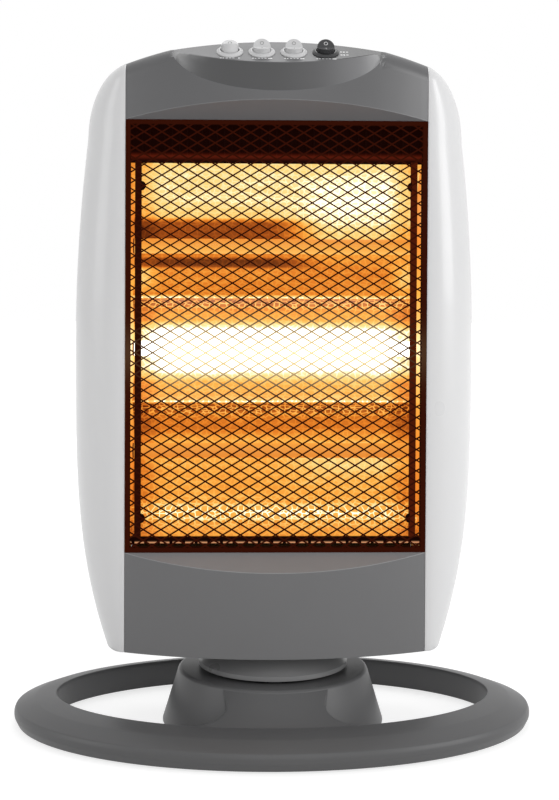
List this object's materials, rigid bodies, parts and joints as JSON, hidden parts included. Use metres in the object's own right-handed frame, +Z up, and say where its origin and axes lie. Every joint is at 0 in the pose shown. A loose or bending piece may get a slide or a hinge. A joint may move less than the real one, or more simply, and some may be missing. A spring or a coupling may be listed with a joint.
{
  "type": "halogen heater",
  "caption": "Free-standing halogen heater: an arched head with a diamond-mesh grille, glowing quartz tubes and rocker switches along its top swings on an open oval base.",
  "frame": {"origin": "centre of the oval base on the surface it stands on", "axes": "+Z up, the front with the grille faces -Y, +X to the viewer's right when facing the grille"},
  "size_m": [0.378, 0.25, 0.4949],
  "materials": {
    "housing_grey": "satin",
    "dark_plastic": "satin",
    "rubber": "matte",
    "steel": "satin",
    "nylon": "satin",
    "panel_white": "gloss",
    "grille_steel": "satin",
    "reflector_sheet": "polished",
    "quartz": "clear",
    "filament": "glowing",
    "ceramic": "matte",
    "motor_metal": "satin",
    "switch_light": "satin",
    "switch_dark": "satin"
  },
  "bodies": {
    "base_unit": {"base": "housing_grey", "base_cover": "dark_plastic", "base_feet": "rubber", "base_screws": "steel", "pivot_post": "steel", "post_circlip": "steel", "thrust_washer": "nylon", "swing_yoke": "steel", "yoke_screws": "steel"},
    "head": {"turntable_disc": "housing_grey", "floor_pan": "dark_plastic", "side_panel_left": "panel_white", "side_panel_right": "panel_white", "top_fascia": "housing_grey", "lower_front_panel": "housing_grey", "rear_cover": "dark_plastic", "rear_screws": "steel", "cord_gland": "dark_plastic", "grille_rising_strands": "grille_steel", "grille_falling_strands": "grille_steel", "grille_frame": "grille_steel", "inner_surround": "grille_steel", "grille_clips": "grille_steel", "reflector": "reflector_sheet", "reflector_end_left": "reflector_sheet", "reflector_end_right": "reflector_sheet", "hood": "grille_steel", "rear_heat_shield": "steel", "quartz_tube_lower": "quartz", "quartz_tube_middle": "quartz", "quartz_tube_upper": "quartz", "filament_lower": "filament", "filament_middle": "filament", "filament_upper": "filament", "ceramic_caps": "ceramic", "swing_motor": "motor_metal", "motor_screws": "steel", "tip_over_switch": "dark_plastic", "thermal_cutout": "dark_plastic", "terminal_block": "nylon", "switch_housings": "switch_light", "switch_housing_upper": "switch_dark"},
    "crank": {"crank_arm": "nylon"},
    "rocker_swing_body": {"rocker_swing": "switch_light"},
    "rocker_lower_body": {"rocker_lower": "switch_light"},
    "rocker_middle_body": {"rocker_middle": "switch_light"},
    "rocker_upper_body": {"rocker_upper": "switch_dark"}
  },
  "joints": [
    {"name": "swing", "type": "hinge", "parent": "base_unit", "child": "head", "pos_m": [0, 0, 0.05], "axis": [0, 0, 1], "range_deg": [-30, 30]},
    {"name": "crank_turn", "type": "hinge", "parent": "head", "child": "crank", "pos_m": [0, -0.027, 0.05], "axis": [0, 0, 1], "range_deg": [-90, 90]},
    {"name": "rocker_swing_tilt", "type": "hinge", "parent": "head", "child": "rocker_swing_body", "pos_m": [-0.03375, -0.04203, 0.48501], "axis": [1, 0, 0], "range_deg": [0, 24]},
    {"name": "rocker_lower_tilt", "type": "hinge", "parent": "head", "child": "rocker_lower_body", "pos_m": [-0.01125, -0.04203, 0.48501], "axis": [1, 0, 0], "range_deg": [-24, 0]},
    {"name": "rocker_middle_tilt", "type": "hinge", "parent": "head", "child": "rocker_middle_body", "pos_m": [0.01125, -0.04203, 0.48501], "axis": [1, 0, 0], "range_deg": [-24, 0]},
    {"name": "rocker_upper_tilt", "type": "hinge", "parent": "head", "child": "rocker_upper_body", "pos_m": [0.03375, -0.04203, 0.48501], "axis": [1, 0, 0], "range_deg": [-24, 0]}
  ],
  "couplings": [
    {"joint": "crank_turn", "follows": "swing", "ratio": -3}
  ]
}
